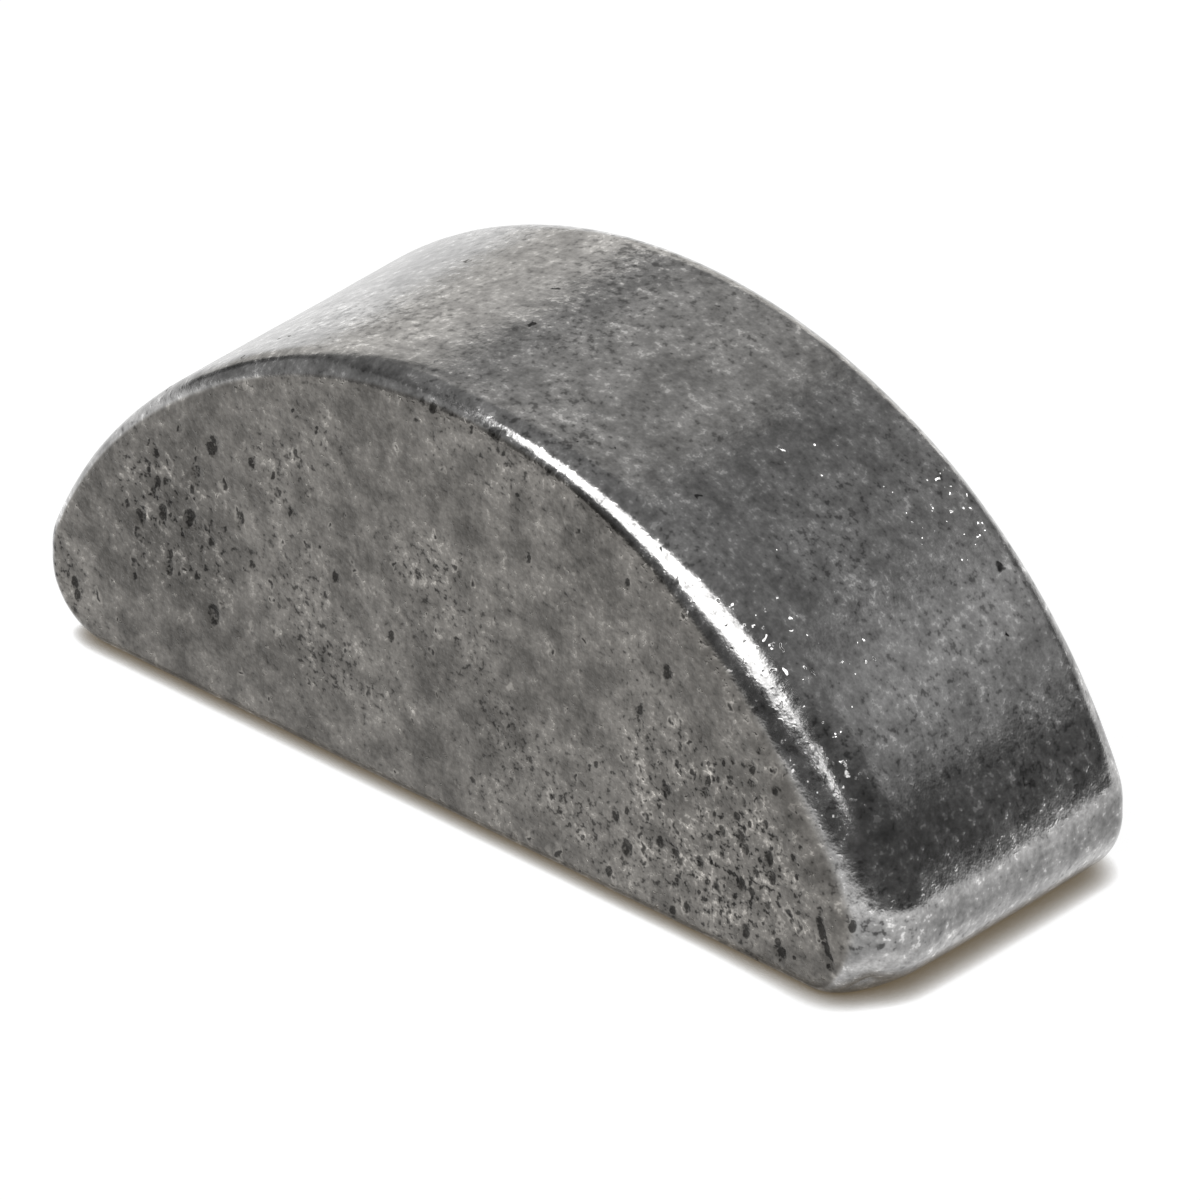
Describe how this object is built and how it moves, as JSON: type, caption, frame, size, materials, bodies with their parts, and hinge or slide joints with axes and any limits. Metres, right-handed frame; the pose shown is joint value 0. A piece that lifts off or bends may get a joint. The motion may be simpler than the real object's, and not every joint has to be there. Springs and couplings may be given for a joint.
{
  "type": "woodruff key",
  "caption": "Half-moon steel key with a curved edge, flat sides and a flat top, which sits in a round-bottomed pocket in a shaft and locks a hub to it.",
  "frame": {"origin": "middle of the flat, which lies on the surface that the key rests on", "axes": "+X along the key, +Y across its width, +Z from the flat to the crown of the arc"},
  "size_m": [0.015, 0.005, 0.0065],
  "materials": {
    "steel": "tumbled plain steel, mottled mid grey with small dark pits and edges worn bright"
  },
  "bodies": {
    "root": {"key": "steel"}
  },
  "joints": []
}
